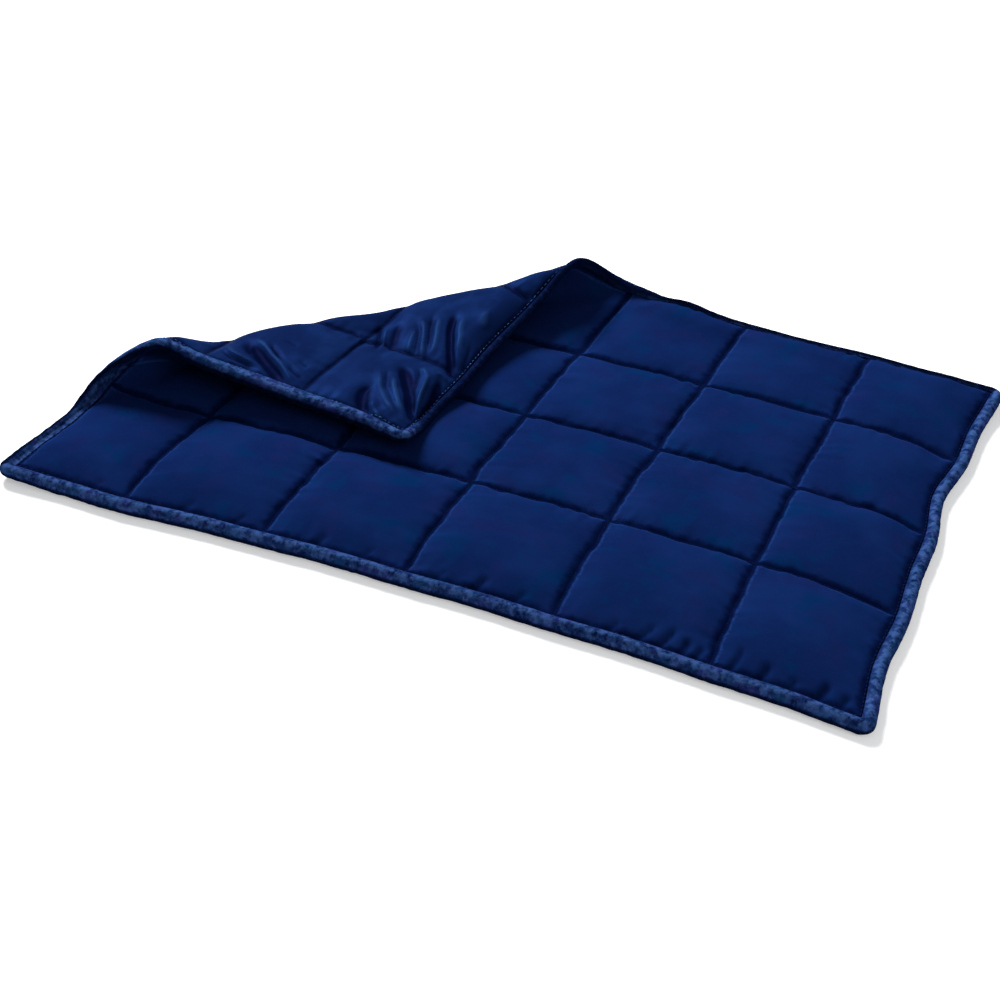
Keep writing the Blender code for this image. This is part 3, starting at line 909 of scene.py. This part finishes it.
def makeTopCloth():
    look = quiltFinish
    finish = Finish("smoothNavyCloth")
    place = finish.clothPlace()
    masks = finish.noises(place, look["noises"])
    fine, lit = masks["fine"], finish.attribute("lit")
    # the painted shade band at each sewn line is narrower on the side that catches the light
    ragged = (finish.attribute("fromSeam") * (1.0 + look["litNarrow"] * lit)
              + look["ragged"] * (0.5 - masks["edge"]))
    masks.update({"ragged": ragged, "crease": finish.attribute("crease")})
    base = finish.layers(look["field"], masks, look, "cloth")
    # painted highlight beside the shade band, on the side that catches the light
    start, end = look["paintedSeamHighlight"]
    pale = lit * finish.between(ragged, *start) * finish.between(ragged, *end)
    pale = pale * finish.between(fine, *look["paintedSeamHighlightFine"])
    base = finish.mixColour(pale * look["paintedSeamHighlightShare"], base, look["paintedLight"])
    # painted shade in crease troughs and painted highlight on crease ridges
    base = finish.layers(base, masks, look, "creases")
    u, v = (finish.add("ShaderNodeSeparateXYZ", {}, {0: place}, axis) for axis in (0, 1))
    turns = tau / look["thread"]
    weave = (u * turns).sine() * (v * turns).sine()
    threadHigh, fineHigh = look["weave"]
    bump = finish.bump(weave * threadHigh + fine * fineHigh, look["weaveBump"])
    bump = finish.bump(masks["lumps"], look["lumpsBump"], bump)
    least, more = look["roughness"]
    return finish.shader({**look["sheen"], "Specular IOR Level": 0.0, "Base Color": base,
                          "Roughness": least + more * fine, "Normal": bump})


undersideFinish = {
    "field": linear(10, 26, 66),
    "light": linear(15, 36, 82),
    # painted shade at the sewn lines and in crease troughs
    "paintedShade": linear(2, 6, 34),
    # painted highlight on crease ridges
    "paintedRidgeHighlight": linear(30, 56, 100),
    "noises": {"cloudy": (22.0, 3.0, 0.55), "fine": (420.0, 3.0, 0.6), "edge": (150.0, 3.0, 0.6)},
    "cloth": (("cloudy", 0.38, 0.66, 1.0, "light"), ("ragged", 0.0060, 0.0006, 0.8, "paintedShade"),
              ("crease", -0.0002, -0.0024, 0.9, "paintedShade"), ("crease", 0.0004, 0.0026, 0.55, "paintedRidgeHighlight")),
    "ragged": 0.0040,
    "roughness": (0.35, 0.08),
    "bump": (0.35, 0.00025),
    "sheen": {"Sheen Weight": 0.06, "Sheen Roughness": 0.30, "Sheen Tint": linear(40, 90, 220)},
    "gloss": {"Metallic": 0.05, "Specular IOR Level": 0.0008, "Specular Tint": linear(90, 180, 210)},
}


def makeUnderCloth():
    look = undersideFinish
    finish = Finish("softNavyUnderside")
    masks = finish.noises(finish.clothPlace(), look["noises"])
    masks["ragged"] = finish.attribute("fromSeam") + look["ragged"] * (0.5 - masks["edge"])
    masks["crease"] = finish.attribute("crease")
    # painted shade at the sewn lines and in crease troughs, painted highlight on crease ridges
    base = finish.layers(look["field"], masks, look, "cloth")
    least, more = look["roughness"]
    return finish.shader({**look["sheen"], **look["gloss"], "Base Color": base,
                          "Roughness": least + more * masks["fine"],
                          "Normal": finish.bump(masks["fine"], look["bump"])})


plushFinish = {
    "deep": linear(9, 20, 58),
    "field": linear(22, 43, 92),
    "light": linear(50, 72, 132),
    "teal": linear(18, 56, 100),
    "lilac": linear(38, 42, 104),
    "turned": linear(5, 14, 44),    # painted shade where the folded back edge curls under
    # painted shade on the outer and lower side of the roll
    "outer": linear(2, 6, 26),
    # painted highlight at chosen angles round the roll
    "paintedLight": linear(60, 92, 148),
    "noises": {"tufts": (380.0, 4.0, 0.65), "clumps": (150.0, 3.0, 0.6), "tint": (60.0, 3.0, 0.6)},
    "pile": (("tufts", 0.38, 0.58, 1.0, "field"), ("clumps", 0.50, 0.64, 0.85, "light"),
             ("tint", 0.53, 0.66, 0.6, "teal"), ("tint", 0.47, 0.36, 0.6, "lilac")),
    "paintedHighlightClumps": (0.36, 0.58),
    "paintedHighlightShare": 0.72,
    "outerTufts": 0.5,          # how uneven the painted shade on the outer side is
    "outerShare": 0.92,
    "turnedShadeShare": 0.85,
    "roughness": (0.80, 0.15),
    "clumpHigh": 0.6,
    "bump": (0.8, 0.0012),
    "sheen": {"Sheen Weight": 0.09, "Sheen Roughness": 0.35, "Sheen Tint": linear(50, 105, 220)},
}


def makePlush():
    look = plushFinish
    finish = Finish("navyPlushPile")
    masks = finish.noises(finish.add("ShaderNodeTexCoord", {}, {}, 3), look["noises"])
    tufts, clumps = masks["tufts"], masks["clumps"]
    base = finish.layers(look["deep"], masks, look, "pile")
    # painted highlight round the roll, broken up by the clumps
    paintedLight = finish.attribute("paintedHighlight") * finish.between(clumps, *look["paintedHighlightClumps"])
    base = finish.mixColour(paintedLight * look["paintedHighlightShare"], base, look["paintedLight"])
    # painted shade on the outer side of the roll
    outer = finish.attribute("outer") + look["outerTufts"] * (tufts - 0.5)
    base = finish.mixColour(outer * look["outerShare"], base, look["outer"])
    # painted shade along the folded back edge
    base = finish.mixColour(finish.attribute("turned") * look["turnedShadeShare"], base, look["turned"])
    least, more = look["roughness"]
    return finish.shader({**look["sheen"], "Specular IOR Level": 0.0, "Base Color": base,
                          "Roughness": least + more * tufts,
                          "Normal": finish.bump(tufts + look["clumpHigh"] * clumps, look["bump"])})


threadFinish = {
    "quilting": {"dark": linear(5, 15, 48), "light": linear(10, 27, 70)},
    "binding": {"dark": linear(20, 46, 96), "light": linear(64, 98, 156)},
    "noises": {"uneven": (160.0, 2.0, 0.5), "twist": (1900.0, 2.0, 0.6)},
    "strand": (("uneven", 0.38, 0.62, 1.0, "light"),),
    "roughness": (0.5, 0.2),
    "bump": (0.5, 0.0001),
    "sheen": {"Sheen Weight": 0.05, "Sheen Roughness": 0.3, "Sheen Tint": linear(60, 110, 220)},
}


def makeThread(name, kind):
    look = {**threadFinish, **threadFinish[kind]}
    finish = Finish(name)
    masks = finish.noises(finish.clothPlace(), look["noises"])
    least, more = look["roughness"]
    return finish.shader({**look["sheen"], "Specular IOR Level": 0.02,
                          "Base Color": finish.layers(look["dark"], masks, look, "strand"),
                          "Roughness": least + more * masks["twist"],
                          "Normal": finish.bump(masks["twist"], look["bump"])})


topCloth, underCloth, plush = makeTopCloth(), makeUnderCloth(), makePlush()
quiltingThread = makeThread("navyQuiltingThread", "quilting")
bindingThread = {"top": quiltingThread, "under": makeThread("paleBlueThread", "binding")}
print("materials made")

quiltedBlanket = makeQuilt(topCloth, underCloth)
thin = quiltedBlanket.modifiers.new("thin", "DECIMATE")
thin.vertex_group = "hidden"
thin.ratio = quilt["hiddenKept"]
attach(quiltedBlanket, "root")
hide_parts("quilted_body")
print("quilt made")

strips = (
    ("bindingFront", "front", width, lambda a, i: (a, i)),
    ("bindingRight", "right", depth, lambda a, i: (width - i, a)),
    ("bindingBack", "back", width, lambda a, i: (a, depth - i)),
    ("bindingLeft", "left", depth, lambda a, i: (i, a)),
)
for number, (name, side, length, toFlat) in enumerate(strips):
    strip = makeBinding(name, side, length, toFlat, plush, 300 + 10 * number)
    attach(strip, "root")
    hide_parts("binding_" + side)
print("binding made")

columns = [(x, seamAt["front"], x, depth - seamAt["back"]) for x in columnLines]
rows = [(seamAt["left"], y, width - seamAt["right"], y) for y in rowLines]
inset = {side: seamAt[side] + thread["inset"] for side in sides}
left, right, front, back = inset["left"], width - inset["right"], inset["front"], depth - inset["back"]
around = [(left, front, right, front), (right, front, right, back),
          (right, back, left, back), (left, back, left, front)]
for face in ("top", "under"):
    makeStitches(face + "QuiltingStitches", "quilting", columns + rows, face, quiltingThread)
    makeStitches(face + "BindingStitches", "binding", around, face, bindingThread[face])
print("stitches made")


# floor, light and camera

room = {
    "floor": 0.93,
    "duller": 0.985,            # part of that in the floor's mottles
    "mottle": (3.0, 3.0, 0.5),
    "reach": 30.0,              # of the floor, from the middle
    "glow": 0.38,
    "world": 0.26,
    "sky": (0.95, 0.97, 1.0, 1.0),
    "key": {"place": (-2.95, 2.65, 2.95), "size": 1.7, "power": 468.0},
    "fill": {"place": (1.9, -0.9, 1.5), "size": 1.4, "power": 10.0},
}


def makeFloor():
    finish = Finish("paleFloor")
    place = finish.add("ShaderNodeTexCoord", {}, {}, 3)
    pale, duller = ((room["floor"] * part,) * 3 + (1.0,) for part in (1.0, room["duller"]))
    base = finish.mixColour(finish.noise(place, *room["mottle"]), pale, duller)
    finish.shader({"Roughness": 0.9, "Specular IOR Level": 0.1, "Emission Strength": room["glow"],
                   "Emission Color": (1.0, 1.0, 1.0, 1.0), "Base Color": base})
    mesh, far = bpy.data.meshes.new("floor"), room["reach"]
    mesh.from_pydata([(-far, -far, 0), (far, -far, 0), (far, far, 0), (-far, far, 0)], [], [(0, 1, 2, 3)])
    mesh.materials.append(finish.material)
    makeObject("floor", mesh)


def aim(thing, place, target, roll=0.0):
    back = (Vector(place) - Vector(target)).normalized()
    right = Vector((0, 0, 1)).cross(back).normalized()
    up = back.cross(right)
    rolledRight = right * math.cos(roll) + up * math.sin(roll)
    rolledUp = up * math.cos(roll) - right * math.sin(roll)
    turn = Matrix((rolledRight, rolledUp, back)).transposed()
    thing.matrix_world = Matrix.Translation(place) @ turn.to_4x4()


def makeLight(name, facts):
    data = bpy.data.lights.new(name, "AREA")
    data.shape = "DISK"
    data.size = facts["size"]
    data.energy = facts["power"]
    aim(makeObject(name, data), facts["place"], (0, 0, 0))


view = {
    "azimuth": 21.799, "elevation": 33.128, "roll": 2.926, "distance": 1.7997,
    "target": (0.00921, -0.10398, 0.0),
    "lens": 74.66,
}


def makeCamera():
    azimuth, elevation = math.radians(view["azimuth"]), math.radians(view["elevation"])
    back = Vector((math.sin(azimuth) * math.cos(elevation),
                   -math.cos(azimuth) * math.cos(elevation), math.sin(elevation)))
    target = Vector(view["target"])
    data = bpy.data.cameras.new("camera")
    data.lens = view["lens"]
    data.sensor_width = 36.0
    camera = makeObject("camera", data)
    aim(camera, target + back * view["distance"], target, math.radians(view["roll"]))
    bpy.context.scene.camera = camera


makeFloor()
makeLight("keyLight", room["key"])
makeLight("fillLight", room["fill"])
makeCamera()
world = bpy.data.worlds.new("paleRoom")
world.use_nodes = True
world.node_tree.nodes["Background"].inputs[0].default_value = room["sky"]
world.node_tree.nodes["Background"].inputs[1].default_value = room["world"]
bpy.context.scene.world = world
bpy.context.scene.view_settings.view_transform = "Standard"

print("scene made")
